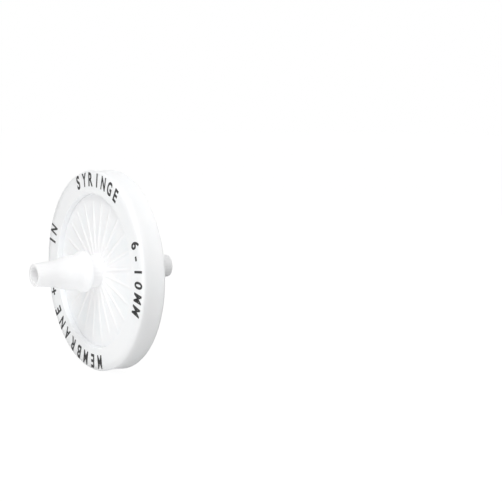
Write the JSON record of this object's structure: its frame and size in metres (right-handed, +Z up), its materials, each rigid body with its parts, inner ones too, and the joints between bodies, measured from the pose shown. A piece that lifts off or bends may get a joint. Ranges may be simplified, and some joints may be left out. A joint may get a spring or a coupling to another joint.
{
  "type": "in-line disc filter",
  "caption": "Round in-line disc filter of translucent white plastic, with a thick moulded rim, radial ribs on both faces and a stepped hose barb on each side.",
  "frame": {"origin": "centre of the membrane, which is also the centre of the rim", "axes": "Y is the flow axis: the inlet barb points to -Y and the outlet barb to +Y. +Z is up, across the disc."},
  "size_m": [0.062, 0.0466, 0.062],
  "materials": {
    "shell_plastic": "natural moulded polypropylene, satin",
    "band_plastic": "white overmoulded polypropylene, satin",
    "membrane_film": "porous polymer film",
    "support_felt": "non-woven polypropylene",
    "print_ink": "black pad-printed ink, used only by the visual model"
  },
  "bodies": {
    "root": {"inlet_shell": "shell_plastic", "outlet_shell": "shell_plastic", "rim_band": "band_plastic", "upstream_support": "support_felt", "membrane": "membrane_film", "downstream_support": "support_felt"}
  },
  "joints": []
}
